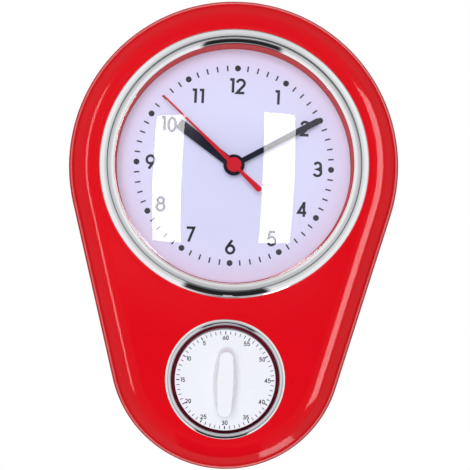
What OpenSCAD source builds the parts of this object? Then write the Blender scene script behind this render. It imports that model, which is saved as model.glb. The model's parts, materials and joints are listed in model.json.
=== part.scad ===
// Retro kitchen wall clock with a built-in 60 minute timer.
// Front view axes used inside the modules: x right, y up, z out from the wall.
// front_view() turns them into the part's own frame: +Z up, front facing -Y, wall plane at Y = 0.
// The origin is the centre of the keyhole's entry hole, on the rear face.

/* [Housing] */
// Outline radius of the large upper end
top_r = 111.5; // [109:0.5:115]
// Outline radius of the small lower end
bottom_r = 78.5; // [76:0.5:82]
// Distance between the centres of the two ends
ends_gap = 126; // [123:0.5:130]
// Height of the straight side wall at its corner with the shoulder
side_h = 29; // [27:0.5:32]
// Height of the flat front face above the wall
face_h = 42; // [41:0.5:43]
// Width of the sloping shoulder, measured inwards
shoulder_w = 16; // [15:0.5:17]
// Wall thickness of the moulded housing
wall = 2.5; // [2:0.1:3]
// Radius of the outer edge of the shoulder
outer_round = 20; // [16:1:22]
// Radius of the edge where the shoulder meets the face
face_round = 18; // [14:1:19]

/* [Clock face] */
// Inner radius of the well that holds the dial
well_r = 78; // [77:0.1:78.6]
// Height of the dial's printed surface
dial_top = 28; // [27:0.5:30]
// Thickness of the dial disc
dial_t = 1.2; // [0.8:0.1:1.6]
// Outer radius of the chrome clock ring
ring_r = 87.8; // [86:0.2:89]
// Inner radius of the chrome clock ring
ring_in = 77.7; // [77:0.1:78]
// Rise of the domed lens at its centre
lens_rise = 8; // [6:0.5:10]
// Thickness of the lens
lens_t = 1.2; // [1:0.1:1.8]

/* [Timer] */
// Distance from the clock's centre down to the timer's centre
timer_drop = 140; // [138:0.5:142]
// Inner radius of the timer well
timer_well_r = 35.6; // [35.4:0.1:36]
// Outer radius of the chrome timer ring
timer_ring_r = 39; // [38:0.2:41]
// Inner radius of the chrome timer ring
timer_ring_in = 35.1; // [35:0.1:35.4]
// Radius of the timer knob's disc
knob_r = 32.6; // [31:0.1:33.4]
// Height of the knob's printed face
knob_face = 45; // [44:0.5:46]
// Height of the top of the knob's grip
grip_top = 59; // [54:0.5:62]

/* [Hands] */
// Length of the minute hand from the centre
minute_len = 63; // [58:1:66]
// Length of the hour hand from the centre
hour_len = 46; // [40:1:48]
// Length of the second hand from the centre
second_len = 65; // [60:1:70]
// Minutes shown at rest
show_minute = 10; // [0:1:59]
// Hours shown at rest
show_hour = 10; // [0:1:11]
// Seconds shown at rest
show_second = 52; // [0:1:59]

/* [Hanging] */
// Distance from the top of the housing down to the keyhole
keyhole_drop = 33.5; // [30:0.5:42]
// Radius of the keyhole's entry hole
keyhole_r = 5; // [4.5:0.1:5.5]
// Half width of the keyhole's slot
slot_r = 2.3; // [2:0.1:2.6]
// Length of the slot above the entry hole
slot_len = 10; // [9:0.5:11]

/* [Hidden] */
$fn = 96;

// Places of the two ends, the dial and the timer below the keyhole
dial_y = keyhole_drop - top_r;
bottom_y = dial_y - ends_gap;
timer_y = dial_y - timer_drop;
// The side walls lean in by this angle, along this length
lean = asin((top_r - bottom_r) / ends_gap);
lean_len = sqrt(pow(ends_gap, 2) - pow(top_r - bottom_r, 2));

// Shoulder slope and how far each of its two corners turns
slope = atan((face_h - side_h) / shoulder_w);
side_turn = 90 - slope;
// Centres of the two shoulder roundings, measured from the outline
outer_c = [-outer_round, side_h - outer_round * tan(side_turn / 2)];
face_c = [-shoulder_w - face_round * tan(slope / 2), face_h - face_round];

// Steps around the upper end of the outside and of the inside
outer_steps = 66;
inner_steps = 30;

// Rear cover
cover_t = 2.5;
cover_gap = 0.3;
boss_inset = 15.5;
boss_r = 4.2;
boss_top = 37;
screw_r = 1.5;
screw_head_r = 3.2;
access_w = 61;
access_h = 61;

// Dial well
floor_t = 2.5;
floor_top = dial_top - dial_t;
floor_under = floor_top - floor_t;
lens_seat_r = 79.6;

// Timer well
timer_floor_top = 34.5;
timer_floor_under = timer_floor_top - floor_t;
pip_r = 0.7;
pip_at_r = 43;

// Quartz movement, z levels above the wall
case_w = 56;
case_wall = 1.3;
case_back = 8;
case_split = 16;
case_front = 23.8;
middle_z = 13.15;
middle_t = 0.6;

// Clearance of the seats of parts fixed on a round one
seat = 0.02;

// Running fits of the nested centre shafts
fit = 0.05;
second_shaft_r = 0.9;
minute_tube_in = second_shaft_r + fit;
minute_tube_r = 1.6;
hour_tube_in = minute_tube_r + fit;
hour_tube_r = 2.5;
bushing_in = hour_tube_r + fit;
bushing_r = 4;
pivot_r = 0.5;

// Heights of the three hands
second_cap_r = 4.8;
hour_z = 31;
minute_z = 33;
second_z = 35;
hand_t = 0.6;

// Clock train: teeth and modules
wheel_t = 0.8;
pivot_foot = 8.8;
plate_pivot_top = 13.6;
case_pivot_top = 23.2;
rotor_z = 8;
inter_z = 48;
inter_mod = 0.3;
inter_pinion_z = 10;
second_wheel_z = 50;
second_mod = 0.35;
second_pinion_z = 8;
third_z = 64;
third_mod = 0.3;
third_pinion_z = 8;
minute_wheel_z = 60;
cannon_z = 12;
setting_z = 36;
setting_pinion_z = 10;
hour_wheel_z = 40;
// Centre distances of the clock train
third_d = third_mod * (second_pinion_z + third_z) / 2;
minute_mod = 2 * third_d / (third_pinion_z + minute_wheel_z);
cannon_mod = 2 * third_d / (cannon_z + setting_z);
hour_mod = 2 * third_d / (setting_pinion_z + hour_wheel_z);
inter_d = second_mod * (inter_pinion_z + second_wheel_z) / 2;
rotor_d = inter_mod * (rotor_z + inter_z) / 2;
// Directions of the arbors around the centre
third_dir = 0;
setting_dir = 62;
inter_dir = 125;
rotor_dir = 160;
third_at = third_d * [cos(third_dir), sin(third_dir)];
setting_at = third_d * [cos(setting_dir), sin(setting_dir)];
inter_at = inter_d * [cos(inter_dir), sin(inter_dir)];
rotor_at = inter_at + rotor_d * [cos(rotor_dir), sin(rotor_dir)];

// Battery bay
battery_r = 7.1;
battery_len = 49;
battery_y = -19.6;
battery_z = 16;

// Timer train: teeth, modules and centre distances
timer_main_z = 60;
timer_main_mod = 0.5;
timer_second_pinion_z = 10;
timer_second_z = 50;
timer_second_mod = 0.4;
timer_third_pinion_z = 10;
timer_third_z = 48;
timer_third_mod = 0.35;
timer_escape_pinion_z = 8;
timer_escape_z = 15;
timer_second_d = timer_main_mod * (timer_main_z + timer_second_pinion_z) / 2;
timer_third_d = timer_second_mod * (timer_second_z + timer_third_pinion_z) / 2;
timer_escape_d = timer_third_mod * (timer_third_z + timer_escape_pinion_z) / 2;
timer_second_dir = 200;
timer_third_dir = -50;
timer_escape_dir = -12;
timer_second_at = timer_second_d * [cos(timer_second_dir), sin(timer_second_dir)];
timer_third_at = timer_second_at
    + timer_third_d * [cos(timer_third_dir), sin(timer_third_dir)];
timer_escape_at = timer_third_at
    + timer_escape_d * [cos(timer_escape_dir), sin(timer_escape_dir)];
anchor_at = timer_escape_at + [9.6, 2];
hammer_at = [13, 9];

// Timer frame, z levels above the wall
back_plate_z = 12.5;
front_plate_z = 30.5;
plate_t = 1.2;
timer_frame_r = 30;
pillar_dirs = [20, 110, 160, 290];
pillar_at_r = 26.5;
timer_screw_dirs = [50, 180, 310];
timer_screw_at_r = 33;
arbor_r = 3;
timer_arbor_top = 43;
bell_r = 22;
bell_back = 4.5;

// Colours
housing_red = [0.80, 0.03, 0.06];
dial_white = [0.86, 0.84, 0.95];
knob_white = [0.93, 0.94, 0.97];
hand_black = [0.05, 0.05, 0.07];
hand_red = [0.78, 0.05, 0.10];
steel = [0.70, 0.70, 0.72];
chrome = [0.85, 0.86, 0.88];
brass = [0.80, 0.66, 0.35];
nylon = [0.90, 0.88, 0.80];
iron = [0.55, 0.55, 0.57];
black_plastic = [0.13, 0.13, 0.14];

module front_view() rotate([90, 0, 0]) children();
module at_dial() front_view() translate([0, dial_y, 0]) children();
module at_timer() front_view() translate([0, timer_y, 0]) children();
module at_point(p) translate([p[0], p[1], 0]) children();
module at_polar(r, a) translate([r * cos(a), r * sin(a), 0]) children();

// ---- outlines -------------------------------------------------------------

function arc_points(c, rx, ry, a0, a1, steps) =
    [for (i = [0 : steps]) let(a = a0 + (a1 - a0) * i / steps) c + [rx * cos(a), ry * sin(a)]];

// Section of the housing's edge, inset by t, with this many steps on its two roundings
function shoulder_edge(t, z0, outer_steps, face_steps) = concat(
    [[-t, z0]],
    arc_points(outer_c, outer_round - t, outer_round - t, 0, side_turn, outer_steps),
    arc_points(face_c, face_round - t, face_round - t, side_turn, 90, face_steps));

// The housing's outline, inset by t: two round ends joined by straight sides
function outline(t, steps) = concat(
    arc_points([0, dial_y], top_r - t, top_r - t, -lean, 180 + lean, steps),
    arc_points([0, bottom_y], bottom_r - t, bottom_r - t, 180 + lean, 360 - lean, steps * 2 / 3));

// A solid with that outline: one ring of points for each point of an edge section
module shouldered_solid(edge, steps) {
    n = len(outline(0, steps));
    top = len(edge) - 1;
    polyhedron(
        points = [for (p = edge) for (q = outline(-p[0], steps)) [q[0], q[1], p[1]]],
        faces = concat(
            [[for (i = [0 : n - 1]) i]],
            [[for (i = [n - 1 : -1 : 0]) top * n + i]],
            [for (k = [0 : top - 1], i = [0 : n - 1]) let(j = (i + 1) % n)
                [k * n + i, (k + 1) * n + i, (k + 1) * n + j, k * n + j]]));
}

// Closed ring between two radii
module tube(r_out, r_in, z0, z1) translate([0, 0, z0]) difference() {
    cylinder(r = r_out, h = z1 - z0);
    translate([0, 0, -1]) cylinder(r = r_in, h = z1 - z0 + 2);
}
module rod(r, z0, z1) translate([0, 0, z0]) cylinder(r = r, h = z1 - z0);

// ---- gears ----------------------------------------------------------------

addendum = 0.78;
dedendum = 1.15;
// Parts of one tooth's pitch taken by the tooth at its root, middle and tip
root_part = 0.50;
mid_part = 0.38;
tip_part = 0.16;
function tooth_points(z, m, i, turn) = let(pitch = 360 / z, a = turn + pitch * i, r = m * z / 2)
    [for (s = [[-root_part, -dedendum], [-mid_part, 0], [-tip_part, addendum],
               [tip_part, addendum], [mid_part, 0], [root_part, -dedendum]])
        (r + s[1] * m) * [cos(a + s[0] * pitch / 2), sin(a + s[0] * pitch / 2)]];
module gear(z, m, turn, z0, t) translate([0, 0, z0]) linear_extrude(t)
    polygon([for (i = [0 : z - 1]) each tooth_points(z, m, i, turn)]);
// Turn of a gear's first tooth so that it meshes with a gear lying in direction dir from it
function meshed(dir, z1, turn1, z2) = dir + 180 - 180 / z2 + (dir - turn1) * z1 / z2;

// ---- housing --------------------------------------------------------------

module boss_places() {
    for (a = [40, 140]) translate([0, dial_y, 0]) at_polar(top_r - boss_inset, a) children();
    for (a = [240, 300]) translate([0, bottom_y, 0]) at_polar(bottom_r - boss_inset, a) children();
    for (side = [0, 1]) mirror([side, 0, 0]) translate([0, dial_y, 0]) rotate([0, 0, -lean])
        translate([top_r - boss_inset, -0.55 * lean_len, 0]) children();
}

module front_housing() color(housing_red) front_view() {
    difference() {
        union() {
            difference() {
                shouldered_solid(shoulder_edge(0, 0, 7, 5), outer_steps);
                shouldered_solid(shoulder_edge(wall, -1, 3, 2), inner_steps);
            }
            translate([0, dial_y, 0]) rod(well_r + wall, floor_under, face_h - 0.5);
            translate([0, timer_y, 0]) rod(timer_well_r + wall, timer_floor_under, face_h - 0.5);
            boss_places() rod(boss_r, cover_t, boss_top);
            translate([0, timer_y, 0]) for (a = timer_screw_dirs) at_polar(timer_screw_at_r, a)
                rod(3.4, front_plate_z + plate_t, timer_floor_under + 0.5);
        }
        translate([0, dial_y, 0]) {
            rod(well_r, floor_top, face_h + 1);
            rod(bushing_r + 0.2, 0, face_h);
        }
        translate([0, timer_y, 0]) {
            rod(timer_well_r, timer_floor_top, face_h + 1);
            rod(5, 0, face_h);
            for (a = timer_screw_dirs) at_polar(timer_screw_at_r, a)
                rod(screw_r, front_plate_z, timer_floor_under + 1.2);
        }
        boss_places() rod(screw_r, 0, screw_end + 2);
    }
    // Raised pips above and to the right of the timer's ring
    translate([0, timer_y, 0]) for (a = [0, 90]) at_polar(pip_at_r, a)
        rod(pip_r, face_h - wall / 2, face_h + 0.4);
}

module rear_cover() color(black_plastic) front_view() difference() {
    linear_extrude(cover_t) polygon(outline(wall + cover_gap, inner_steps));
    translate([0, 0, -1]) {
        cylinder(r = keyhole_r, h = cover_t + 2);
        translate([-slot_r, 0, 0]) cube([2 * slot_r, slot_len, cover_t + 2]);
        translate([0, slot_len, 0]) cylinder(r = slot_r, h = cover_t + 2);
        translate([-access_w / 2, dial_y - access_h / 2, 0]) cube([access_w, access_h, cover_t + 2]);
        boss_places() cylinder(r = screw_r + 0.25, h = cover_t + 2);
        // Slots that let the bell be heard
        for (i = [-3 : 3]) translate([i * 6 - 1, timer_y - 16, 0]) cube([2, 32, cover_t + 2]);
    }
    boss_places() rod(screw_head_r + 0.4, -1, screw_seat_z);
}

screw_head_z = 0.2;
screw_seat_z = 1.5;
screw_end = 12;
recess_half = 0.4;
module cover_screws() color(steel) front_view() boss_places() difference() {
    union() {
        rod(screw_head_r, screw_head_z, screw_seat_z);
        rod(screw_r, screw_head_z, screw_end);
    }
    for (a = [0, 90]) rotate([0, 0, a])
        box(-2, 2, -recess_half, recess_half, screw_head_z - 1, screw_head_z + 0.8);
}

// ---- clock face -----------------------------------------------------------

// Half of a trim ring's section: a rounded band that rises from r_low to r_high
band_steep = 50;
band_flat = 12;
function band_points(r_low, r_high, z_high, rising) = let(
    R = (r_low - r_high) / (sin(band_steep) - sin(band_flat)),
    a0 = rising ? band_steep : band_flat, a1 = rising ? band_flat : band_steep)
    [for (i = [0 : 8]) let(a = a0 + (a1 - a0) * i / 8)
        [r_high + R * (sin(a) - sin(band_flat)), z_high + abs(R) * (cos(a) - cos(band_flat))]];

// Two bands with a fine groove between them; the inner one holds the lens down
ring_crest = face_h + 3.6;
ring_split = 82;
groove_half = 0.4;
groove_deep = 0.8;
lens_top = face_h + lens_t;
module clock_ring() color(chrome) at_dial() rotate_extrude($fn = 180) polygon(concat(
    [[ring_r, face_h]],
    band_points(ring_r - 0.2, ring_split + groove_half, ring_crest, true),
    [[ring_split, ring_crest - groove_deep]],
    band_points(ring_in + 0.3, ring_split - groove_half, ring_crest, false),
    [[ring_in, lens_top], [lens_seat_r + 0.2, lens_top], [lens_seat_r + 0.2, face_h]]));

// A shallow dome of even thickness on a flat flange that the ring holds down
dome_r = 77.5;
function dome_points(r0, z0, dir) = let(R = (r0 * r0 + lens_rise * lens_rise) / (2 * lens_rise))
    [for (i = [0 : 24]) let(r = r0 * (dir > 0 ? i : 24 - i) / 24)
        [r, z0 + sqrt(R * R - r * r) - R + lens_rise]];
module clock_lens() color([0.9, 0.95, 1, 0.25]) at_dial() rotate_extrude($fn = 180) polygon(concat(
    [[lens_seat_r, face_h], [lens_seat_r, lens_top]],
    dome_points(dome_r, lens_top, -1),
    dome_points(dome_r - 0.6, face_h, 1)));

module clock_dial() color(dial_white) at_dial()
    tube(well_r - 0.2, bushing_r + 0.1, floor_top, dial_top);

// ---- timer ring -----------------------------------------------------------

timer_crest = face_h + 1.5;
timer_split = 37.2;
module timer_ring() color(chrome) at_timer() rotate_extrude($fn = 144) polygon(concat(
    [[timer_ring_r, face_h]],
    band_points(timer_ring_r - 0.1, timer_split + 0.15, timer_crest, true),
    [[timer_split, timer_crest - 0.3]],
    band_points(timer_ring_in + 0.1, timer_split - 0.15, timer_crest, false),
    [[timer_ring_in, face_h - 3], [timer_well_r, face_h - 3], [timer_well_r, face_h]]));

// ---- quartz movement ------------------------------------------------------

module rounded(w, h, r) {
    square([w - 2 * r, h], center = true);
    square([w, h - 2 * r], center = true);
    for (x = [-1, 1], y = [-1, 1]) translate([x * (w / 2 - r), y * (h / 2 - r)]) circle(r);
}
module case_block(inset, z0, z1) translate([0, 0, z0]) linear_extrude(z1 - z0)
    rounded(case_w - 2 * inset, case_w - 2 * inset, 3.5 - inset);
module box(x0, x1, y0, y1, z0, z1) translate([x0, y0, z0]) cube([x1 - x0, y1 - y0, z1 - z0]);
bay_edge = battery_y + battery_r + 0.2;
bay_x = case_w / 2 - case_wall;
plate_post_at = [[-18.5, -2], [-17, 17.6], [6.6, 17.2]];

module movement_front_case() color(black_plastic) at_dial() difference() {
    union() {
        difference() {
            case_block(0, case_split, case_front);
            case_block(case_wall, case_split - 1, case_front - case_wall);
        }
        box(-bay_x, bay_x, bay_edge, bay_edge + 1, case_split, case_front - 0.5);
    }
    rod(bushing_r + seat, case_split, case_front + 1);
    for (p = [third_at, setting_at]) at_point(p) rod(pivot_r + 0.05, 20, case_front - 0.4);
    translate([-bay_x, battery_y, battery_z]) rotate([0, 90, 0])
        cylinder(r = battery_r + 0.2, h = 2 * bay_x);
}

module movement_rear_case() color(black_plastic) at_dial() difference() {
    union() {
        difference() {
            case_block(0, case_back, case_split);
            case_block(case_wall, case_back + case_wall, case_split + 1);
            box(-bay_x, bay_x, -case_w / 2 + case_wall, bay_edge, case_back - 1, case_split);
        }
        box(-bay_x, bay_x, bay_edge, bay_edge + 1, case_back + 0.5, case_split);
        for (p = plate_post_at) at_point(p) rod(1.2, case_back + 0.5, middle_z);
    }
    at_point(setting_at) rod(1.2 + fit, case_back - 1, 12);
    for (p = [[0, 0], third_at, inter_at, rotor_at]) at_point(p)
        rod(pivot_r + 0.05, case_back + 0.5, 12);
}

module movement_middle_plate() color([0.85, 0.83, 0.78]) at_dial() difference() {
    box(-20, 8, -3.5, 18.8, middle_z, middle_z + middle_t);
    rod(2.2, 0, 20);
    at_point(setting_at) rod(0.9, 0, 20);
    for (p = [inter_at, rotor_at]) at_point(p) rod(pivot_r + 0.05, 0, 20);
}

module movement_gasket() color([0.06, 0.06, 0.06]) at_dial()
    tube(12, bushing_r + 0.1, case_front, floor_under);

module centre_bushing() color(brass) at_dial()
    tube(bushing_r, bushing_in, case_front - case_wall, hour_z - 0.6);

washer_t = 0.4;
module dial_washer() color(steel) at_dial()
    tube(6.6, bushing_r + 0.1, dial_top, dial_top + washer_t);

nut_t = 1.8;
module dial_nut() color(brass) at_dial() difference() {
    translate([0, 0, dial_top + washer_t]) cylinder(r = 6.3, h = nut_t, $fn = 6);
    rod(bushing_r + seat, dial_top, dial_top + washer_t + nut_t + 1);
}

module battery() color([0.75, 0.70, 0.25]) at_dial()
    translate([-battery_len / 2, battery_y, battery_z]) rotate([0, 90, 0]) {
        cylinder(r = battery_r, h = battery_len);
        cylinder(r = 2.7, h = battery_len + 1.4);
    }

module contact_plate(x0, lip) {
    box(x0, x0 + 0.4, battery_y - 5, battery_y + 5, 10.5, 21.5);
    box(lip > 0 ? x0 : x0 + 0.4 + lip, lip > 0 ? x0 + lip : x0 + 0.4,
        battery_y - 2, battery_y + 2, battery_z - 0.2, battery_z + 0.2);
}
module positive_contact() color(steel) at_dial()
    contact_plate(battery_len / 2 + 1.4, 0.4);
module negative_contact() color(steel) at_dial()
    contact_plate(-bay_x, bay_x - battery_len / 2);

board_x = -26;
module circuit_board() color([0.10, 0.35, 0.15]) at_dial() box(board_x, -10.6, 0, 26, 17.4, 18.4);
module circuit_chip() color([0.05, 0.05, 0.05]) at_dial() translate([-18, 17, 0]) rod(2.6, 18.4, 19.5);
module quartz_crystal() color(steel) at_dial()
    translate([-15, 4, 19.4]) rotate([-90, 0, 0]) cylinder(r = 1, h = 6);

stator_z = 10.3;
stator_t = 0.7;
stator_top = stator_z + stator_t;
module stator() color(iron) at_dial() difference() {
    translate([0, 0, stator_z]) linear_extrude(stator_t) polygon([
        [-24, 6.8], [-9.2, 6.8], [-9.2, 12.4], [2, 18.8], [2, 25.4], [-3, 25.4],
        [-3, 19.4], [-10.5, 16.2], [-20, 16.2], [-20, 25.4], [-24, 25.4]]);
    at_point(rotor_at) rod(3.5, stator_z - 1, stator_top + 1);
}

// Core across the stator's two legs, and the winding on its bobbin between them
coil_y = 23;
coil_z = 12.9;
coil_r = 3.3;
coil_x = -19.7;
coil_len = 16.4;
core_half = 1.5;
core_t = 0.5;
module coil_core() color(iron) at_dial() {
    for (x = [-24, -1.2])
        box(x, x + 3.2, coil_y - core_half, coil_y + core_half, stator_top, coil_z + core_t);
    box(-21, -1, coil_y - core_half, coil_y + core_half, coil_z - core_t, coil_z + core_t);
}
module coil_winding() color([0.72, 0.35, 0.15]) at_dial() difference() {
    translate([coil_x, coil_y, coil_z]) rotate([0, 90, 0]) {
        for (x = [0, coil_len - 1]) translate([0, 0, x]) cylinder(r = coil_r, h = 1);
        cylinder(r = coil_r - 0.4, h = coil_len);
    }
    box(coil_x - 1, coil_x + coil_len + 1, coil_y - core_half - fit, coil_y + core_half + fit,
        coil_z - core_t - fit, coil_z + core_t + fit);
}

// ---- hands and clock train ------------------------------------------------

// Clockwise angle from 12 o'clock turned into the front view's angle
function clock_turn(a) = 90 - a;
minute_angle = 6 * show_minute;
hour_angle = 30 * show_hour + show_minute / 2;
second_angle = 6 * show_second;

// A flat bar from the centre, wider at the far end, with a square tip
module hand_bar(len, w0, w1) polygon([[0, -w0 / 2], [len, -w1 / 2], [len, w1 / 2], [0, w0 / 2]]);

module hour_hand() color(hand_black) at_dial() translate([0, 0, hour_z])
    linear_extrude(hand_t) difference() {
        rotate(clock_turn(hour_angle)) union() {
            circle(6.4);
            hand_bar(hour_len, 6.6, 6.8);
        }
        circle(hour_tube_r + seat);
    }
module minute_hand() color(hand_black) at_dial() translate([0, 0, minute_z])
    linear_extrude(hand_t) difference() {
        rotate(clock_turn(minute_angle)) union() {
            circle(7);
            hand_bar(minute_len, 3.5, 4.2);
        }
        circle(minute_tube_r);
    }
// Half width at the hub, tail length and the radius of the tail's round end
second_w = 1.6;
tail_len = 24.5;
tail_end_r = 1.9;
module second_hand() color(hand_red) at_dial() difference() {
    union() {
        translate([0, 0, second_z]) linear_extrude(hand_t) rotate(clock_turn(second_angle)) union() {
            polygon([[0, -second_w], [second_len / 2, -0.75], [second_len, -0.6],
                [second_len, 0.6], [second_len / 2, 0.75], [0, second_w]]);
            polygon([[0, -0.8], [tail_end_r - tail_len, -tail_end_r],
                [tail_end_r - tail_len, tail_end_r], [0, 0.8]]);
            translate([tail_end_r - tail_len, 0]) circle(tail_end_r);
        }
        rod(second_cap_r, second_z, second_z + 1.6);
    }
    rod(second_shaft_r, second_z - 1, second_z + 1);
}

module second_arbor() color(nylon) at_dial() {
    rod(pivot_r, pivot_foot, 10.2);
    gear(second_wheel_z, second_mod, 0, 10.2, wheel_t);
    gear(second_pinion_z, third_mod, 0, 11, 2.2);
    rod(0.6, 11, 14.5);
    rod(second_shaft_r, 14.5, second_z + 1);
}

module minute_tube() color(nylon) at_dial() difference() {
    union() {
        gear(minute_wheel_z, minute_mod, 0, 14.4, wheel_t);
        gear(cannon_z, cannon_mod, 0, 15.2, 2.8);
        rod(minute_tube_r, 14.4, minute_z + hand_t + 0.2);
    }
    rod(minute_tube_in, 14, minute_z + 2);
}

module hour_tube() color(nylon) at_dial() difference() {
    union() {
        gear(hour_wheel_z, hour_mod, meshed(setting_dir + 180, setting_pinion_z, 0, hour_wheel_z),
            18.6, wheel_t);
        rod(3.6, 18.6, 20.2);
        rod(hour_tube_r, 18.3, hour_z + hand_t + 0.2);
    }
    rod(hour_tube_in, 18, hour_z + 2);
}

third_turn = meshed(third_dir, second_pinion_z, 0, third_z);
module third_wheel() color(nylon) at_dial() at_point(third_at) {
    rod(pivot_r, pivot_foot, case_pivot_top);
    gear(third_z, third_mod, third_turn, 12, wheel_t);
    rod(1.8, 11.4, 12.8);
    gear(third_pinion_z, minute_mod, meshed(third_dir, minute_wheel_z, 0, third_pinion_z),
        13.9, 1.8);
}

module intermediate_wheel() color(nylon) at_dial() at_point(inter_at) {
    rod(pivot_r, pivot_foot, plate_pivot_top);
    gear(inter_pinion_z, second_mod, meshed(inter_dir, second_wheel_z, 0, inter_pinion_z),
        9.7, 1.9);
    gear(inter_z, inter_mod, 0, 11.9, wheel_t);
    rod(1.6, 11.6, 12.7);
}

module rotor_pinion() color([0.92, 0.92, 0.9]) at_dial() at_point(rotor_at) {
    rod(pivot_r, pivot_foot, plate_pivot_top);
    gear(rotor_z, inter_mod, meshed(rotor_dir, inter_z, 0, rotor_z), 11.6, 1.3);
}
module rotor_magnet() color([0.25, 0.25, 0.27]) at_dial() at_point(rotor_at) tube(3, pivot_r, 9.9, 11.4);

module setting_wheel() color(nylon) at_dial() at_point(setting_at) {
    rod(1.2, 3.9, 11.3);
    rod(pivot_r, 11.2, case_pivot_top);
    gear(setting_z, cannon_mod, meshed(setting_dir, cannon_z, 0, setting_z), 16.5, wheel_t);
    gear(setting_pinion_z, hour_mod, 0, 17.3, 2.7);
}
module setting_knob() color(black_plastic) at_dial() at_point(setting_at) difference() {
    gear(24, 0.4, 0, 3.9, 3.6);
    rod(1.2, 3, 8);
}

// ---- mechanical timer -----------------------------------------------------

timer_pivots = [timer_second_at, timer_third_at, timer_escape_at, anchor_at];
timer_pivot_r = 0.7;
timer_pivot_foot = back_plate_z + 0.4;
timer_pivot_top = front_plate_z + 0.9;
module timer_plate_holes() {
    rod(arbor_r + fit, 0, 40);
    for (p = timer_pivots) at_point(p) rod(timer_pivot_r + 0.05, 0, 40);
}

module timer_front_plate() color(brass) at_timer() difference() {
    union() {
        rod(timer_frame_r, front_plate_z, front_plate_z + plate_t);
        for (a = timer_screw_dirs) at_polar(timer_screw_at_r, a)
            rod(4, front_plate_z, front_plate_z + plate_t);
    }
    timer_plate_holes();
    for (a = timer_screw_dirs) at_polar(timer_screw_at_r, a) rod(screw_r + 0.2, 0, 40);
}

module timer_back_plate() color(brass) at_timer() difference() {
    rod(timer_frame_r, back_plate_z, back_plate_z + plate_t);
    timer_plate_holes();
    at_point(hammer_at) rod(0.85, 0, 40);
}

module timer_pillars() color(steel) at_timer()
    for (a = pillar_dirs) at_polar(pillar_at_r, a) rod(2, back_plate_z + plate_t, front_plate_z);

module timer_screws() color(steel) at_timer()
    for (a = timer_screw_dirs) at_polar(timer_screw_at_r, a) difference() {
        union() {
            rod(screw_head_r, front_plate_z - 1.6, front_plate_z);
            rod(screw_r - 0.05, front_plate_z - 1, timer_floor_under + 0.9);
        }
        box(-2, 2, -0.4, 0.4, front_plate_z - 2, front_plate_z - 1);
    }

spring_turns = 6;
spring_t = 0.35;
function spiral(r0, r1, turns, shift) =
    [for (i = [0 : turns * 24]) let(a = i * 15, r = r0 + (r1 - r0) * i / (turns * 24) + shift)
        [r * cos(a), r * sin(a)]];
function reversed(v) = [for (i = [len(v) - 1 : -1 : 0]) v[i]];
module mainspring() color([0.45, 0.45, 0.5]) at_timer() translate([0, 0, 24.2]) linear_extrude(5.8)
    polygon(concat(spiral(4, 13.4, spring_turns, spring_t), reversed(spiral(4, 13.4, spring_turns, 0))));

bell_at = [4, 6];
bell_t = 0.9;
module timer_bell() color([0.82, 0.82, 0.80]) at_timer() at_point(bell_at) difference() {
    rod(bell_r, bell_back, 11);
    rod(bell_r - bell_t, bell_back + bell_t, 12);
    rod(2 + seat, 0, 12);
}
module bell_post() color(steel) at_timer() at_point(bell_at) {
    rod(2, bell_back - 0.6, back_plate_z);
    rod(3.2, bell_back + bell_t, 7);
    rod(3.2, bell_back - 0.8, bell_back);
}

module timer_arbor() color(steel) at_timer() 
    rod(arbor_r, timer_pivot_foot, timer_arbor_top);
module timer_main_wheel() color(brass) at_timer() difference() {
    union() {
        gear(timer_main_z, timer_main_mod, 0, 22, 1.4);
        rod(5, 21, 23.8);
    }
    rod(arbor_r, 20, 25);
}
module timer_second_wheel() color(brass) at_timer() at_point(timer_second_at) {
    rod(timer_pivot_r, timer_pivot_foot, timer_pivot_top);
    gear(timer_second_pinion_z, timer_main_mod,
        meshed(timer_second_dir, timer_main_z, 0, timer_second_pinion_z), 21, 3);
    gear(timer_second_z, timer_second_mod, 0, 19, 1);
    rod(2, 18.4, 21);
}
module timer_third_wheel() color(brass) at_timer() at_point(timer_third_at) {
    rod(timer_pivot_r, timer_pivot_foot, timer_pivot_top);
    gear(timer_third_pinion_z, timer_second_mod,
        meshed(timer_third_dir, timer_second_z, 0, timer_third_pinion_z), 18.5, 2);
    gear(timer_third_z, timer_third_mod, 0, 16.8, 0.8);
    rod(1.6, 16.4, 18.5);
}
escape_r = 6;
module timer_escape_wheel() color(brass) at_timer() at_point(timer_escape_at) {
    rod(timer_pivot_r, timer_pivot_foot, timer_pivot_top);
    gear(timer_escape_pinion_z, timer_third_mod,
        meshed(timer_escape_dir, timer_third_z, 0, timer_escape_pinion_z), 15.4, 3);
    // Ratchet teeth, steep on one side
    translate([0, 0, 14.6]) linear_extrude(0.8) polygon([
        for (i = [0 : timer_escape_z - 1]) let(a = 360 / timer_escape_z * i)
            each [escape_r * [cos(a), sin(a)], (escape_r - 1.3) * [cos(a + 4), sin(a + 4)]]]);
}

// Rocking anchor: two pallets that straddle the escape wheel, and a balance bar
module timer_anchor() color(steel) at_timer() at_point(anchor_at)
    rotate([0, 0, atan2(timer_escape_at[1] - anchor_at[1], timer_escape_at[0] - anchor_at[0])]) {
        rod(timer_pivot_r, timer_pivot_foot, timer_pivot_top);
        rod(1.8, 14.4, 16.6);
        translate([0, 0, 14.6]) linear_extrude(0.8)
            polygon([[-1, 0], [4.6, -6.8], [5.6, -6.2], [1.4, 0], [5.6, 6.2], [4.6, 6.8]]);
        for (side = [-1, 1]) translate([5.2, side * 6.4, 0]) rod(0.7, 14.4, 15.8);
        box(-1.2, 1.2, -7, 7, 15.4, 16.6);
    }

module bell_hammer() color(steel) at_timer() at_point(hammer_at) {
    rod(0.8, 7.2, 17);
    rod(1.8, 7.2, 8.7);
    rotate([0, 0, -50]) {
        box(0, 11, -0.6, 0.6, 7.2, 8.2);
        translate([11, 0, 0]) rod(2, 7, 10);
    }
}

// ---- timer knob -----------------------------------------------------------

grip_half = 8;
grip_end_r = 5.2;
grip_end_y = 16.5;
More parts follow.
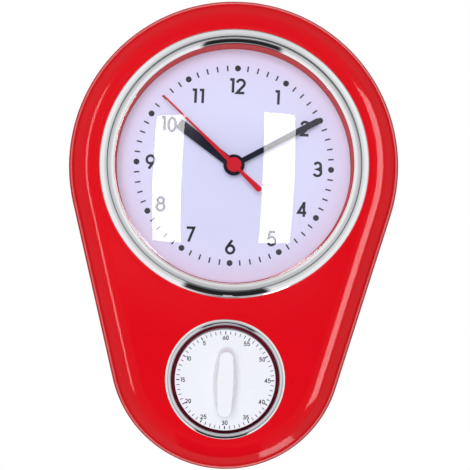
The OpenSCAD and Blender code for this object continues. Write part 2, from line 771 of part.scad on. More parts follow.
// Boat-shaped outline of the grip, drawn in by t, as a list of points
function grip_outline(t) = let(e = grip_end_r - 0.3 * t, w = grip_half - t, y1 = grip_end_y - 0.1 * t)
    concat(
        [for (i = [-4 : 4]) let(y = y1 * i / 4) [w - (w - e) * pow(i / 4, 2), y]],
        arc_points([0, y1], e, e, 15, 165, 8),
        [for (i = [4 : -1 : -4]) let(y = y1 * i / 4) [-(w - (w - e) * pow(i / 4, 2)), y]],
        arc_points([0, -y1], e, e, 195, 345, 8));
grip_h = grip_top - knob_face;
grip_draft = 2.2;
ridge_rx = 1.6;
ridge_ry = 2.4;
level_t = 0.05;
// [inset, height] of the grip's foot, drafted flanks and rounded ridge
grip_levels = concat([[0, -1], [0.9, 1.2]],
    arc_points([grip_draft + ridge_rx, grip_h - ridge_ry], -ridge_rx, ridge_ry, 0, 90, 6));

module grip() hull() for (level = grip_levels)
    translate([0, 0, knob_face + level[1] - level_t]) linear_extrude(level_t)
        polygon(grip_outline(level[0]));

// Disc with a rounded edge and a skirt, hollow behind, with a hub for the arbor
knob_skirt_z = 36;
knob_skin = 2.2;
knob_wall = 1.8;
knob_edge_r = 0.8;
knob_hub_r = 6;
module timer_knob() color(knob_white) at_timer() difference() {
    union() {
        rotate_extrude($fn = 144) polygon(concat(
            [[0, knob_face], [0, knob_face - knob_skin], [knob_r - knob_wall, knob_face - knob_skin],
             [knob_r - knob_wall, knob_skirt_z], [knob_r, knob_skirt_z]],
            arc_points([knob_r - knob_edge_r, knob_face - knob_edge_r],
                knob_edge_r, knob_edge_r, 0, 90, 5)));
        rod(knob_hub_r, knob_skirt_z, knob_face - 1);
        grip();
    }
    rod(arbor_r + seat, knob_skirt_z - 1, timer_arbor_top);
}

front_housing();
rear_cover();
cover_screws();
clock_ring();
clock_lens();
clock_dial();
timer_ring();
movement_front_case();
movement_rear_case();
movement_middle_plate();
movement_gasket();
centre_bushing();
dial_washer();
dial_nut();
battery();
positive_contact();
negative_contact();
circuit_board();
circuit_chip();
quartz_crystal();
stator();
coil_core();
coil_winding();
timer_front_plate();
timer_back_plate();
timer_pillars();
timer_screws();
mainspring();
timer_bell();
bell_post();
second_hand();
second_arbor();
minute_hand();
minute_tube();
hour_hand();
hour_tube();
third_wheel();
intermediate_wheel();
rotor_pinion();
rotor_magnet();
setting_wheel();
setting_knob();
timer_knob();
timer_arbor();
timer_main_wheel();
timer_second_wheel();
timer_third_wheel();
timer_escape_wheel();
timer_anchor();
bell_hammer();
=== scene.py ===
"""Looks of the kitchen clock: smooth housing, printed marks, finishes, floor, lights and camera."""
import json
import math

import bmesh
import bpy
from mathutils import Matrix, Vector


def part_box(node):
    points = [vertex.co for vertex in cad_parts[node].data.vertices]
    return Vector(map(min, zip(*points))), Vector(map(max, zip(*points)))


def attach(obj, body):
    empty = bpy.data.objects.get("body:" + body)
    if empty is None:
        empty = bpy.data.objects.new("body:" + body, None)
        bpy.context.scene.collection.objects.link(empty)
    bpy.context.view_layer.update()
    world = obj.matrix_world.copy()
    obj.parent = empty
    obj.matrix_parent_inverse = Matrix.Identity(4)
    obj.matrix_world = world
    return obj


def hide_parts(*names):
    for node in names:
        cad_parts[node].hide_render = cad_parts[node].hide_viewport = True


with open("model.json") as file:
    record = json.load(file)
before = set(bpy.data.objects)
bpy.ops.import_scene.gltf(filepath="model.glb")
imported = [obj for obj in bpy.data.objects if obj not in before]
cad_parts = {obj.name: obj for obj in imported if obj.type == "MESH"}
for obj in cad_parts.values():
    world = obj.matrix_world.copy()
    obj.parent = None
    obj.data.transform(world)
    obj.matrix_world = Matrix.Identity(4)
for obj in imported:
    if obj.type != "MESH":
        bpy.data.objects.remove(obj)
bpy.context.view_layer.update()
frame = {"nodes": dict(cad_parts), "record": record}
nodes = frame["nodes"]
scene = bpy.context.scene

MM = 0.001

# Sizes in millimetres, as the CAD has them; heights are above the wall
# Housing: its two round ends, its side, face and shoulder, its wall and the rounds of its edge
TOP_R, BOTTOM_R, ENDS_GAP = 111.49, 78.49, 126
SIDE_H, FACE_H, SHOULDER_W = 29, 42, 16
WALL, OUTER_ROUND, FACE_ROUND = 2.5, 20, 18
# Dial well and timer well: radius, heights of the floor's two faces, and the hole for the shaft
WELL_R, WELL_FLOOR, WELL_UNDER, DIAL_HOLE_R = 78, 26.8, 24.3, 4.2
TIMER_WELL_R, TIMER_FLOOR, TIMER_UNDER, TIMER_HOLE_R = 35.6, 34.5, 32, 5
# Bosses for the cover screws, and where they stand: on the round ends at these angles, and on the sides
BOSS_R, BOSS_BORE, BOSS_FOOT, BOSS_TOP, BORE_END, BOSS_INSET = 4.2, 1.5, 2.5, 37, 14, 15.5
TOP_BOSSES, BOTTOM_BOSSES, SIDE_BOSS_AT = (40, 140), (240, 300), 0.55
# Raised pips on the face, to the right of the timer and above it
PIP_R, PIP_TOP_R, PIP_AT_R, PIP_H, PIP_ROOT = 0.7, 0.49, 43, 0.4, 1
# Radius at which a boss and a pip end on their own axis
BOSS_CORE, PIP_CORE = 0.2, 0.1
KNOB_FACE = 45
# Lens: radii of the dome outside and inside and of its rim, its thickness, and the height of the dome
LENS_R, LENS_INNER_R, LENS_RIM_R, LENS_T, LENS_RISE, LENS_TIP = 77.48, 76.88, 79.58, 1.2, 8, 0.05

# Printed marks, in millimetres: where the ink begins and ends about the printed face, how far a mitre may
# reach (as the least cosine), and then the radii, widths and weights of the marks
INK_TOP, INK_ROOT = 0.03, -0.02
MITRE_LEAST = 0.35
MARK_IN, MARK_OUT, MARK_WIDTH, DOT_R = 63.15, 66.85, 1.0, 2
TIMER_MARK_IN, TIMER_MARK_OUT, TIMER_MARK_WIDTH, TIMER_BOLD_WIDTH = 29.5, 31.6, 0.42, 0.62
TIMER_NUMERAL_R, TIMER_NUMERAL_SCALE, TIMER_TURN = 27.4, 0.28, 1.7
NUMERAL_WEIGHT = 1.25
NUMERAL_R = {12: 53.1, 1: 53.6, 2: 53.6, 3: 56, 4: 54.2, 5: 54.8, 6: 54.1, 7: 54.2, 8: 55.1, 9: 55.6,
             10: 51.6, 11: 52.2}

# Edges sharper than this many degrees stay sharp
SHARP = 32

# Centres of the dial and of the timer, read off the CAD
dial_lo, dial_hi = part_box("clock_dial")
ring_lo, ring_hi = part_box("timer_ring")
DIAL_Z = (dial_lo.z + dial_hi.z) / 2 / MM
TIMER_Z = (ring_lo.z + ring_hi.z) / 2 / MM
DIAL_TOP = -dial_lo.y / MM
BOTTOM_Z = DIAL_Z - ENDS_GAP
LEAN = math.asin((TOP_R - BOTTOM_R) / ENDS_GAP)


def at(x, y, height):
    """Where a front-view point, x right and y up, lies at this height above the wall, in metres."""
    return Vector((x, -height, y)) * MM


def polar(cx, cy, r, degrees):
    """A point at this angle clockwise from the top."""
    a = math.radians(degrees)
    return Vector((cx + r * math.sin(a), cy + r * math.cos(a)))


# ---- mesh helpers ------------------------------------------------------------------

def finish_mesh(name, bm, body):
    """Turns a finished bmesh into a smooth shaded piece of a body."""
    bmesh.ops.recalc_face_normals(bm, faces=bm.faces)
    mesh = bpy.data.meshes.new(name)
    bm.to_mesh(mesh)
    bm.free()
    obj = bpy.data.objects.new(name, mesh)
    scene.collection.objects.link(obj)
    smooth(obj)
    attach(obj, body)
    return obj


def smooth(obj):
    """Rounded shading between sharp edges, with flat faces kept truly flat."""
    for poly in obj.data.polygons:
        poly.use_smooth = True
    obj.data.set_sharp_from_angle(angle=math.radians(SHARP))
    mod = obj.modifiers.new("flat_faces", "WEIGHTED_NORMAL")
    mod.keep_sharp = True
    mod.weight = 100


def ring_of(bm, points):
    """New vertices at these points."""
    return [bm.verts.new(p) for p in points]


def bridge(bm, a, b):
    """Quads between two closed rows of equally many points."""
    n = len(a)
    for i in range(n):
        j = (i + 1) % n
        bm.faces.new((a[i], a[j], b[j], b[i]))


def loop_edges(bm, ring):
    """The edges of a closed row, made where they are missing."""
    n = len(ring)
    edges = []
    for i in range(n):
        pair = (ring[i], ring[(i + 1) % n])
        edges.append(bm.edges.get(pair) or bm.edges.new(pair))
    return edges


def circle(cx, cy, r, steps, height):
    """Points around a circle in the front view."""
    turns = [2 * math.pi * i / steps for i in range(steps)]
    return [at(cx + r * math.cos(a), cy + r * math.sin(a), height) for a in turns]


# ---- housing ------------------------------------------------------------------------

def outline(inset, height, steps=150):
    """The housing's outline drawn in by this much: two round ends joined by straight sides."""
    ends = (
        (DIAL_Z, TOP_R - inset, -LEAN, math.pi + 2 * LEAN, steps),
        (BOTTOM_Z, BOTTOM_R - inset, math.pi + LEAN, math.pi - 2 * LEAN, steps * 2 // 3),
    )
    points = []
    for cy, r, start, sweep, count in ends:
        for i in range(count + 1):
            a = start + sweep * i / count
            points.append(at(r * math.cos(a), cy + r * math.sin(a), height))
    return points


def edge_section(t, outer_steps, face_steps):
    """Inset and height of the side wall, the rounded shoulder and the face's edge, drawn in by t."""
    slope = math.atan2(FACE_H - SIDE_H, SHOULDER_W)
    turn = math.pi / 2 - slope
    centres = (
        (OUTER_ROUND, SIDE_H - OUTER_ROUND * math.tan(turn / 2), OUTER_ROUND - t, 0, turn, outer_steps),
        (SHOULDER_W + FACE_ROUND * math.tan(slope / 2), FACE_H - FACE_ROUND, FACE_ROUND - t, turn,
         math.pi / 2, face_steps),
    )
    section = [(t, 0)]
    for inset, height, r, a0, a1, steps in centres:
        for i in range(steps + 1):
            a = a0 + (a1 - a0) * i / steps
            section.append((inset - r * math.cos(a), height + r * math.sin(a)))
    return section


def lathe(bm, cx, cy, profile, steps, closed):
    """Turns (radius, height) pairs around an axis along the view; returns the first and last rows."""
    rows = [ring_of(bm, circle(cx, cy, r, steps, h)) for r, h in profile]
    for a, b in zip(rows, rows[1:] + (rows[:1] if closed else [])):
        bridge(bm, a, b)
    return rows[0], rows[-1]


def boss_centres():
    """Front-view centres of the six screw bosses: four on the round ends and two on the sides."""
    ends = [(DIAL_Z, TOP_R, a) for a in TOP_BOSSES] + [(BOTTOM_Z, BOTTOM_R, a) for a in BOTTOM_BOSSES]
    centres = []
    for cy, r, a in ends:
        c = polar(0, cy, r - BOSS_INSET, 90 - a)
        centres.append((c.x, c.y))
    across, along = TOP_R - BOSS_INSET, -SIDE_BOSS_AT * ENDS_GAP * math.cos(LEAN)
    x = across * math.cos(LEAN) + along * math.sin(LEAN)
    y = DIAL_Z - across * math.sin(LEAN) + along * math.cos(LEAN)
    return centres + [(x, y), (-x, y)]


def build_housing():
    """The red moulding: an outer and an inner skin, two wells, six bosses and two pips."""
    bm = bmesh.new()
    ends = []
    for t, outer_steps, face_steps in ((0, 16, 12), (WALL, 6, 4)):
        rows = [ring_of(bm, outline(inset, h)) for inset, h in edge_section(t, outer_steps, face_steps)]
        for a, b in zip(rows, rows[1:]):
            bridge(bm, a, b)
        ends.append((rows[0], rows[-1]))
    bridge(bm, ends[0][0], ends[1][0])
    inner_face = FACE_H - WALL
    wells = (
        (DIAL_Z, 180, WELL_R, WELL_FLOOR, WELL_UNDER, DIAL_HOLE_R),
        (TIMER_Z, 144, TIMER_WELL_R, TIMER_FLOOR, TIMER_UNDER, TIMER_HOLE_R),
    )
    outer_holes, inner_holes = [], []
    for z, steps, r, floor, under, hole in wells:
        first, last = lathe(bm, 0, z, (
            (r, FACE_H), (r, floor), (hole, floor), (hole, under), (r + WALL, under), (r + WALL, inner_face),
        ), steps, closed=False)
        outer_holes.append(first)
        inner_holes.append(last)
    for (_, edge), holes in zip(ends, (outer_holes, inner_holes)):
        edges = [e for ring in (edge, *holes) for e in loop_edges(bm, ring)]
        bmesh.ops.triangle_fill(bm, use_beauty=True, use_dissolve=False, edges=edges)
    for cx, cy in boss_centres():
        lathe(bm, cx, cy, (
            (BOSS_R, BOSS_TOP), (BOSS_R, BOSS_FOOT), (BOSS_BORE, BOSS_FOOT), (BOSS_BORE, BORE_END),
            (BOSS_CORE, BORE_END), (BOSS_CORE, BOSS_TOP),
        ), 32, closed=True)
    pip_top, pip_root = FACE_H + PIP_H, FACE_H - PIP_ROOT
    for cx, cy in ((PIP_AT_R, TIMER_Z), (0, TIMER_Z + PIP_AT_R)):
        lathe(bm, cx, cy, (
            (PIP_R, pip_root), (PIP_R, FACE_H + PIP_H / 2), (PIP_TOP_R, pip_top), (PIP_CORE, pip_top),
            (PIP_CORE, pip_root),
        ), 20, closed=True)
    return finish_mesh("housing_shell", bm, "housing")


def build_lens():
    """The domed lens with a smooth surface, down to the flange that the ring hides."""
    bm = bmesh.new()

    def dome(r0, height, steps=40):
        """Radius and height along a dome of this foot radius, from its foot to its tip."""
        sphere = (r0 * r0 + LENS_RISE * LENS_RISE) / (2 * LENS_RISE)
        for i in range(steps + 1):
            r = r0 + (LENS_TIP - r0) * i / steps
            yield r, height + math.sqrt(sphere * sphere - r * r) - sphere + LENS_RISE

    outer = list(dome(LENS_R, FACE_H + LENS_T))
    inner = list(dome(LENS_INNER_R, FACE_H))
    rim = [(LENS_RIM_R, FACE_H), (LENS_RIM_R, FACE_H + LENS_T)]
    lathe(bm, 0, DIAL_Z, rim + outer + inner[::-1], 240, closed=True)
    return finish_mesh("lens_dome", bm, "housing")


# ---- printed marks ------------------------------------------------------------------

def plate(bm, points, height):
    """A thin printed patch with this outline on a surface at this height."""
    top, root = (ring_of(bm, [at(x, y, height + lift) for x, y in points]) for lift in (INK_TOP, INK_ROOT))
    bm.faces.new(top)
    bm.faces.new(list(reversed(root)))
    bridge(bm, top, root)


def stroke(bm, path, width, closed, height):
    """A thin printed line of even width along a path of points, with mitred corners."""
    n = len(path)
    left, right = [], []
    for i, p in enumerate(path):
        before = path[i - 1] if closed or i > 0 else None
        after = path[(i + 1) % n] if closed or i < n - 1 else None
        u = (p - before).normalized() if before is not None else (after - p).normalized()
        v = (after - p).normalized() if after is not None else u
        bisector = (u + v).normalized()
        reach = width / 2 / max(bisector.dot(v), MITRE_LEAST)
        offset = Vector((-bisector.y, bisector.x)) * reach
        left.append(p + offset)
        right.append(p - offset)
    if not closed:
        plate(bm, [tuple(p) for p in left + right[::-1]], height)
        return
    rows = [
        ring_of(bm, [at(p.x, p.y, height + lift) for p in side])
        for side, lift in ((left, INK_TOP), (right, INK_TOP), (right, INK_ROOT), (left, INK_ROOT))
    ]
    for a, b in zip(rows, rows[1:] + rows[:1]):
        bridge(bm, a, b)


def bow(cx, cy, rx, ry, a0, a1, steps=20):
    """Points along part of an ellipse, angles in degrees."""
    turns = [math.radians(a0 + (a1 - a0) * i / steps) for i in range(steps + 1)]
    return [Vector((cx + rx * math.cos(a), cy + ry * math.sin(a))) for a in turns]


def ring_path(cx, cy, rx, ry):
    """Points once around an ellipse."""
    return bow(cx, cy, rx, ry, 0, 360, 36)[:-1]


def line(*points):
    """A path of straight pieces through these points."""
    return [Vector(p) for p in points]


# Plain round-bowled figures: width, then centre lines (path, closed), 8.8 high plus the stroke
FIGURE_H, FIGURE_STROKE, FIGURE_GAP = 8.8, 1.4, 2.6
SIX = (5.2, [(ring_path(2.6, 2.6, 2.6, 2.6), True), (line((0.55, 4.2), (3.7, 8.8)), False)])
FIGURES = {
    "0": (4.7, [(ring_path(2.35, 4.4, 2.35, 4.4), True)]),
    "1": (2.2, [(line((0, 8.8), (2.2, 8.8), (2.2, 0)), False)]),
    "2": (5.0, [(bow(2.5, 6.35, 2.45, 2.45, 172, -38) + line((0.1, 0), (5.1, 0)), False)]),
    "3": (4.9, [
        (bow(2.4, 6.6, 2.1, 2.2, 160, -90, 16) + bow(2.4, 2.2, 2.5, 2.2, 90, -160, 18)[1:], False),
    ]),
    "4": (5.3, [(line((3.8, 8.9), (0.1, 2.1), (5.4, 2.1)), False), (line((3.8, 9.4), (3.8, -0.6)), False)]),
    "5": (4.9, [(line((4.5, 8.8), (1.0, 8.8), (0.45, 4.7)) + bow(2.3, 2.75, 2.6, 2.75, 118, -155), False)]),
    "6": SIX,
    "7": (5.0, [(line((0, 8.8), (4.9, 8.8), (1.5, -0.6)), False)]),
    "8": (5.2, [(ring_path(2.6, 6.85, 2.05, 1.95), True), (ring_path(2.6, 2.45, 2.6, 2.45), True)]),
    "9": (5.2, [([Vector((5.2, 8.8)) - p for p in path], closed) for path, closed in SIX[1]]),
}


def number(bm, text, cx, cy, height, scale, weight, roll):
    """Figures side by side, centred on a point."""
    width = sum(FIGURES[c][0] for c in text) + FIGURE_GAP * (len(text) - 1)
    turn = Matrix.Rotation(math.radians(roll), 2)
    x = -width / 2
    for c in text:
        for path, closed in FIGURES[c][1]:
            placed = [Vector((cx, cy)) + turn @ ((p + Vector((x, -FIGURE_H / 2))) * scale) for p in path]
            stroke(bm, placed, FIGURE_STROKE * scale * weight, closed, height)
        x += FIGURES[c][0] + FIGURE_GAP


def tick(bm, cx, cy, r0, r1, width, degrees, height):
    """A radial mark between two radii."""
    a, b = polar(cx, cy, r0, degrees), polar(cx, cy, r1, degrees)
    stroke(bm, [a, b], width, False, height)


def build_dial_print():
    """Minute marks with a dot at each hour, and the hours, on the dial card."""
    bm = bmesh.new()
    for i in range(60):
        if i % 5:
            tick(bm, 0, DIAL_Z, MARK_IN, MARK_OUT, MARK_WIDTH, 6 * i, DIAL_TOP)
        else:
            c = polar(0, DIAL_Z, (MARK_IN + MARK_OUT) / 2, 6 * i)
            plate(bm, [tuple(p) for p in ring_path(c.x, c.y, DOT_R, DOT_R)], DIAL_TOP)
    marks = finish_mesh("dial_minute_marks", bm, "housing")
    bm = bmesh.new()
    for hour, r in NUMERAL_R.items():
        c = polar(0, DIAL_Z, r, 30 * hour)
        number(bm, str(hour), c.x, c.y, DIAL_TOP, 1, NUMERAL_WEIGHT, 0)
    return marks, finish_mesh("dial_numerals", bm, "housing")


def build_timer_print():
    """The knob's scale: a mark for each minute, and a number at every fifth, counting anticlockwise."""
    bm = bmesh.new()
    for i in range(60):
        width = TIMER_MARK_WIDTH if i % 5 else TIMER_BOLD_WIDTH
        tick(bm, 0, TIMER_Z, TIMER_MARK_IN, TIMER_MARK_OUT, width, 6 * i - TIMER_TURN, KNOB_FACE)
    marks = finish_mesh("timer_minute_marks", bm, "timer")
    bm = bmesh.new()
    for i in range(12):
        c = polar(0, TIMER_Z, TIMER_NUMERAL_R, -30 * i - TIMER_TURN)
        number(bm, str(5 * i or 60), c.x, c.y, KNOB_FACE, TIMER_NUMERAL_SCALE, NUMERAL_WEIGHT, TIMER_TURN)
    return marks, finish_mesh("timer_numerals", bm, "timer")


# ---- finishes -----------------------------------------------------------------------

class Finish:
    """A node material built around one Principled shader."""

    def __init__(self, name, colour, rough, metal=0.0, **shader):
        self.mat = bpy.data.materials.new(name)
        self.mat.use_nodes = True
        self.tree = self.mat.node_tree
        self.bsdf = self.tree.nodes["Principled BSDF"]
        self.bsdf.inputs["Base Color"].default_value = (*colour, 1)
        self.bsdf.inputs["Roughness"].default_value = rough
        self.bsdf.inputs["Metallic"].default_value = metal
        for socket, value in shader.items():
            self.bsdf.inputs[socket.replace("_", " ")].default_value = value
        self.colour = colour
        self.place = self.node("ShaderNodeTexCoord").outputs["Object"]

    def node(self, kind, **inputs):
        """A new node with its inputs linked or set; names have _ for a space."""
        made = self.tree.nodes.new(kind)
        for socket, value in inputs.items():
            slot = made.inputs[socket.replace("_", " ")]
            if isinstance(value, bpy.types.NodeSocket):
                self.tree.links.new(value, slot)
            else:
                slot.default_value = value
        return made

    def grain(self, scale, detail=3.0, stretch=(1, 1, 1)):
        """Noise from 0 to 1 with features about 1 / scale metres wide."""
        place = self.node("ShaderNodeMapping", Vector=self.place, Scale=stretch).outputs[0]
        return self.node("ShaderNodeTexNoise", Vector=place, Scale=scale, Detail=detail).outputs["Fac"]

    def spread(self, value, low, high):
        """The middle of a noise's range stretched from low to high."""
        return self.node("ShaderNodeMapRange", Value=value, From_Min=0.3, From_Max=0.7, To_Min=low,
                         To_Max=high).outputs[0]

    def vary_rough(self, value, low, high):
        """Roughness that follows a value."""
        self.tree.links.new(self.spread(value, low, high), self.bsdf.inputs["Roughness"])
        return self

    def within(self, cx, cz, r, edge=0.0004):
        """1 inside a cylinder of radius r along Y around this point, in metres, and 0 outside it."""
        x, _, z = self.node("ShaderNodeSeparateXYZ", Vector=self.place).outputs
        flat = self.node("ShaderNodeCombineXYZ", X=x, Z=z).outputs[0]
        away = self.tree.nodes.new("ShaderNodeVectorMath")
        away.operation = "DISTANCE"
        self.tree.links.new(flat, away.inputs[0])
        away.inputs[1].default_value = (cx, 0, cz)
        return self.node("ShaderNodeMapRange", Value=away.outputs["Value"], From_Min=r - edge, From_Max=r,
                         To_Min=1.0, To_Max=0.0).outputs[0]

    def mix_into(self, socket, share):
        """Feeds a shader socket from a mix, and returns the mix's two ends, for share 0 and share 1."""
        slot = self.bsdf.inputs[socket]
        mix = self.tree.nodes.new("ShaderNodeMix")
        mix.data_type = "RGBA" if slot.type == "RGBA" else "FLOAT"
        ends = [end for end in mix.inputs if end.type == slot.type and end.name in ("A", "B")]
        self.tree.links.new(share, mix.inputs["Factor"])
        self.tree.links.new(next(end for end in mix.outputs if end.type == slot.type), slot)
        return ends

    def change_within(self, share, socket, value):
        """Moves a socket's linked value to another one where share is 1."""
        before = self.bsdf.inputs[socket].links[0].from_socket
        kept, changed = self.mix_into(socket, share)
        self.tree.links.new(before, kept)
        changed.default_value = value

    def vary_colour(self, value, other):
        """Colour that wanders between the finish's own and another one."""
        for end, colour in zip(self.mix_into("Base Color", self.spread(value, 0, 1)), (self.colour, other)):
            end.default_value = (*colour, 1)
        return self

    def bumps(self, value, depth):
        """Fine relief of this depth in metres."""
        bump = self.node("ShaderNodeBump", Height=value, Distance=depth, Strength=1.0)
        self.tree.links.new(bump.outputs[0], self.bsdf.inputs["Normal"])
        return self


def gloss_plastic(name, colour, other, rough, sheen=0.5):
    """Smooth plastic or enamel with a faint waviness."""
    f = Finish(name, colour, rough, IOR=1.5, Specular_IOR_Level=sheen)
    f.vary_colour(f.grain(14), other)
    f.vary_rough(f.grain(60), rough * 0.8, rough * 1.3)
    return f.bumps(f.grain(45, 1.0), 0.000012).mat


def matte_plastic(name, colour, other, rough, texture=0.00004, sheen=0.5):
    """Plastic, resin, rubber or ink with a fine texture."""
    f = Finish(name, colour, rough, IOR=1.5, Specular_IOR_Level=sheen)
    f.vary_colour(f.grain(90), other)
    f.vary_rough(f.grain(400), rough * 0.85, min(1, rough * 1.15))
    return f.bumps(f.grain(2600, 2.0), texture).mat


def metal(name, colour, other, low, high, stretch=(1, 1, 1), scale=300, depth=0.000004):
    """Metal whose roughness runs from low to high, with its grain drawn out by stretch."""
    f = Finish(name, colour, (low + high) / 2, 1.0)
    value = f.grain(scale, 4.0, stretch)
    return f.vary_colour(value, other).vary_rough(value, low, high).bumps(value, depth).mat


def clear_lens():
    """Clear and polished, with the faintest haze."""
    f = Finish("clear_lens", (1, 1, 1), 0.0, IOR=1.5, Transmission_Weight=1.0)
    return f.vary_rough(f.grain(25), 0.0, 0.004).mat


def satin_card():
    """Printed card with a cool white ground."""
    f = Finish("dial_card", (0.70, 0.715, 0.985), 0.55, IOR=1.45)
    f.vary_colour(f.grain(8), (0.715, 0.725, 0.99))
    f.vary_rough(f.grain(300), 0.5, 0.65)
    return f.bumps(f.grain(5200, 2.0), 0.00001).mat


def housing_gloss():
    """Glossy red outside, satin walls in the two wells, and painted shade in the timer well around the knob.
    """
    f = Finish("red_gloss", (0.72, 0.003, 0.0095), 0.1, IOR=1.5, Specular_IOR_Level=0.1)
    f.vary_colour(f.grain(14), (0.69, 0.0027, 0.0085))
    f.vary_rough(f.grain(60), 0.08, 0.13)
    clock_well = f.within(0, DIAL_Z * MM, (WELL_R + 2) * MM)
    timer_well_satin_and_shade = f.within(0, TIMER_Z * MM, (TIMER_WELL_R + 1) * MM)
    f.change_within(clock_well, "Roughness", 0.6)
    f.change_within(timer_well_satin_and_shade, "Roughness", 0.6)
    # Painted shade: the timer well is coloured dark maroon to stand in for the shadow in the deep gap around
    # the knob
    f.change_within(timer_well_satin_and_shade, "Base Color", (0.22, 0.012, 0.035, 1))
    return f.bumps(f.grain(45, 1.0), 0.000012).mat


FINISHES = {
    "housing_red": housing_gloss(),
    "cover_black": matte_plastic("black_matte", (0.022, 0.022, 0.024), (0.03, 0.03, 0.032), 0.5),
    "steel": metal("plated_steel", (0.60, 0.60, 0.62), (0.52, 0.52, 0.54), 0.25, 0.42, (1, 8, 1)),
    "chrome": metal("polished_chrome", (0.86, 0.87, 0.89), (0.84, 0.85, 0.87), 0.03, 0.07, scale=60,
                    depth=0.000001),
    "lens": clear_lens(),
    "dial": satin_card(),
    "nylon": matte_plastic("natural_nylon", (0.80, 0.77, 0.68), (0.76, 0.73, 0.63), 0.42),
    "gasket": matte_plastic("black_rubber", (0.015, 0.015, 0.015), (0.022, 0.022, 0.022), 0.8, 0.00008),
    "brass": metal("machined_brass", (0.74, 0.53, 0.22), (0.66, 0.45, 0.17), 0.2, 0.38, (1, 12, 1)),
    "battery_wrap": gloss_plastic("battery_sleeve", (0.42, 0.32, 0.05), (0.40, 0.30, 0.045), 0.25),
    "board": matte_plastic("solder_mask", (0.02, 0.16, 0.05), (0.03, 0.20, 0.06), 0.35, 0.00002),
    "chip": matte_plastic("black_resin", (0.01, 0.01, 0.01), (0.016, 0.016, 0.016), 0.3, 0.00006),
    "iron": metal("soft_iron", (0.38, 0.38, 0.40), (0.30, 0.30, 0.32), 0.35, 0.55),
    "copper": metal("copper_wire", (0.66, 0.27, 0.11), (0.50, 0.18, 0.07), 0.25, 0.45, (60, 1, 1), scale=900,
                    depth=0.00004),
    "spring_steel": metal("blued_steel", (0.26, 0.28, 0.36), (0.20, 0.22, 0.30), 0.2, 0.35),
    "bell_steel": metal("nickel_bell", (0.72, 0.70, 0.66), (0.66, 0.64, 0.60), 0.12, 0.25, (1, 10, 1)),
    "hand_red": gloss_plastic("red_enamel", (0.58, 0.006, 0.022), (0.54, 0.005, 0.018), 0.28, sheen=0.15),
    "hand_black": matte_plastic("black_enamel", (0.003, 0.003, 0.014), (0.005, 0.005, 0.018), 0.5, 0.000004,
                                sheen=0.15),
    "magnet": metal("sintered_magnet", (0.10, 0.10, 0.11), (0.06, 0.06, 0.07), 0.4, 0.6),
    "knob_white": gloss_plastic("white_gloss", (0.85, 0.865, 0.93), (0.84, 0.855, 0.92), 0.22),
}


def paint(obj, finish):
    """Gives an object one finish."""
    obj.data.materials.clear()
    obj.data.materials.append(FINISHES[finish])


slots = {part["node"]: part["material_slot"] for part in frame["record"]["subparts"]}
for name, obj in nodes.items():
    paint(obj, slots[name])

shell = build_housing()
paint(shell, "housing_red")
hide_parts("front_housing")
lens = build_lens()
paint(lens, "lens")
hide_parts("clock_lens")
# Light passes straight through the thin lens on its way to the dial
lens.visible_shadow = lens.visible_diffuse = False
for marks in (*build_dial_print(), *build_timer_print()):
    paint(marks, "hand_black")


# ---- stage --------------------------------------------------------------------------

def build_floor():
    """A plain round floor well below the clock, which no reflection sees."""
    bm = bmesh.new()
    below = Matrix.Translation((0, 0, -0.75))
    bmesh.ops.create_circle(bm, cap_ends=True, segments=64, radius=1.1, matrix=below)
    mesh = bpy.data.meshes.new("floor")
    bm.to_mesh(mesh)
    bm.free()
    floor = bpy.data.objects.new("floor", mesh)
    scene.collection.objects.link(floor)
    mesh.materials.append(matte_plastic("pale_floor", (0.86, 0.86, 0.87), (0.84, 0.84, 0.85), 0.9, 0.00002))
    floor.visible_glossy = False


def softbox(name, place, width, height, radiance, aim, lit=None, mirrored=True):
    """A rectangular light that faces a point, in metres: only mirrored, or only lighting what is matt.

    A list of objects in lit limits it to those.
    """
    light = bpy.data.lights.new(name, "AREA")
    light.shape = "RECTANGLE"
    light.size, light.size_y = width, height
    light.energy = radiance * math.pi * width * height
    lamp = bpy.data.objects.new(name, light)
    scene.collection.objects.link(lamp)
    lamp.location = place
    lamp.rotation_euler = (Vector(aim) - lamp.location).to_track_quat("-Z", "Y").to_euler()
    lamp.visible_glossy = mirrored
    lamp.visible_diffuse = not mirrored
    lamp.visible_transmission = lamp.visible_camera = False
    if lit:
        group = bpy.data.collections.new(name + "_lit")
        for obj in lit:
            group.objects.link(obj)
        lamp.light_linking.receiver_collection = group


# Brightness of the room as the clock reflects it
SIDES, CEILING, TABLE, FRONT, BEHIND, RIM, FILL = 0.9, 0.75, 0.02, 0.08, 0.12, 2.0, 0.4


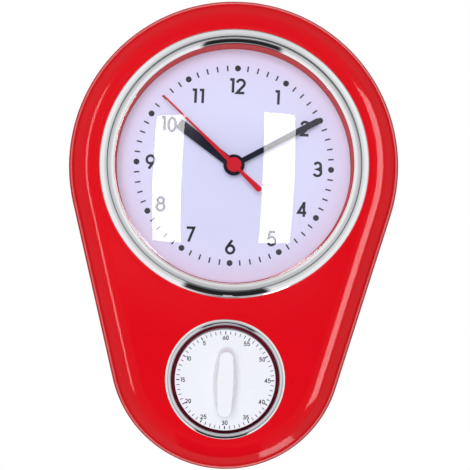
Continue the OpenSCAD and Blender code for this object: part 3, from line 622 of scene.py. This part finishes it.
def build_world():
    """White background and an even fill; reflections see bright sides and a dark foreground."""
    world = bpy.data.worlds.new("studio")
    scene.world = world
    world.use_nodes = True
    tree = world.node_tree
    tree.nodes.clear()

    def node(kind, *values):
        """A new node with its first inputs linked or set, in order."""
        made = tree.nodes.new(kind)
        for target, value in zip(made.inputs, values):
            if isinstance(value, bpy.types.NodeSocket):
                tree.links.new(value, target)
            else:
                target.default_value = value
        return made

    def maths(operation, a, b=0.0):
        """One sum, product or root."""
        made = node("ShaderNodeMath", a, b)
        made.operation = operation
        return made.outputs[0]

    def ramp(value, start, end, low, high):
        """Runs smoothly from low to high while the value goes from start to end."""
        made = node("ShaderNodeMapRange", value, start, end, low, high)
        made.interpolation_type = "SMOOTHSTEP"
        return made.outputs[0]

    def blend(share, a, b):
        """a where share is 0, b where it is 1."""
        return maths("ADD", maths("MULTIPLY", maths("SUBTRACT", 1.0, share), a), maths("MULTIPLY", share, b))

    # A direction's y runs from -1, straight at the clock's viewer, to 1, into the wall
    direction = node("ShaderNodeTexCoord").outputs["Generated"]
    x, y, z = node("ShaderNodeSeparateXYZ", direction).outputs
    # 0 straight above and below the clock, 1 level with it
    across = maths("MULTIPLY", x, x)
    radius = maths("SQRT", maths("ADD", maths("ADD", across, maths("MULTIPLY", z, z)), 0.00001))
    sideways = maths("DIVIDE", maths("SQRT", across), radius)
    # Above: a slightly dimmer ceiling. Below: a dark table between the wall and the viewer
    ceiling = ramp(sideways, 0.25, 0.75, CEILING, SIDES)
    gap = maths("MULTIPLY", ramp(y, -0.90, -0.82, 0.0, 1.0), ramp(y, -0.25, -0.05, 1.0, 0.0))
    table = blend(maths("MULTIPLY", gap, ramp(sideways, 0.33, 0.39, 1.0, 0.0)), SIDES, TABLE)
    around = blend(ramp(z, -0.08, 0.08, 0.0, 1.0), table, ceiling)
    # Dimmer towards the viewer, and dark where the viewer stands
    around = maths("MULTIPLY", around, ramp(y, -0.92, -0.35, 0.7, 1.1))
    ahead = blend(ramp(y, -0.98, -0.93, 0.0, 1.0), FRONT, around)
    # Dark behind the clock, but for one bright band that lines the housing's edge
    rim = maths("MULTIPLY", ramp(y, 0.42, 0.52, 0.0, 1.0), ramp(y, 0.62, 0.70, 1.0, 0.0))
    level = blend(ramp(y, 0.0, 0.3, 0.0, 1.0), ahead, maths("ADD", BEHIND, maths("MULTIPLY", rim, RIM)))
    studio = node("ShaderNodeBackground", (1, 1, 1, 1), level)
    fill = node("ShaderNodeBackground", (1, 1, 1, 1), FILL)
    seen = node("ShaderNodeBackground", (1, 1, 1, 1), 1.0)
    path = node("ShaderNodeLightPath").outputs
    lighting = node("ShaderNodeMixShader", path["Is Diffuse Ray"], studio.outputs[0], fill.outputs[0])
    mix = node("ShaderNodeMixShader", path["Is Camera Ray"], lighting.outputs[0], seen.outputs[0])
    out = node("ShaderNodeOutputWorld", mix.outputs[0])
    out.is_active_output = True


def build_camera():
    """The photographer's place, just below the dial's centre, with the slight roll of the picture."""
    data = bpy.data.cameras.new("camera")
    data.lens = 55
    data.sensor_width = 36
    data.shift_x, data.shift_y = 0.044, -0.0015
    camera = bpy.data.objects.new("camera", data)
    scene.collection.objects.link(camera)
    place = Matrix.Translation((-0.011, -0.508, -0.1243))
    facing_clock = Matrix.Rotation(math.pi / 2, 4, "X")
    roll = Matrix.Rotation(math.radians(2.46), 4, "Z")
    camera.matrix_world = place @ facing_clock @ roll
    scene.camera = camera


build_floor()
# Two strips mirrored in the lens, three lights along the housing's shoulder, and the key on what is matt
softbox("left_strip", (-0.65, -2.04, -0.06), 0.32, 1.36, 11.0, (-0.65, 0, -0.06), [lens])
softbox("right_strip", (0.51, -2.04, -0.01), 0.34, 1.38, 11.0, (0.51, 0, -0.01), [lens])
softbox("left_edge", (-1.69, -1.07, -0.12), 0.26, 2.4, 20.0, (0, 0, -0.12), [shell])
softbox("right_edge", (1.58, -1.23, -0.12), 0.9, 2.4, 20.0, (0, 0, -0.12), [shell])
softbox("low_edge", (0.23, -0.04, -0.63), 0.10, 0.15, 7.0, (0.05, -0.04, -0.25), [shell])
softbox("key", (-0.15, -1.7, 0.15), 1.0, 1.0, 6.0, (0, 0, -0.12), mirrored=False)
build_world()
build_camera()
scene.view_settings.view_transform = "Standard"
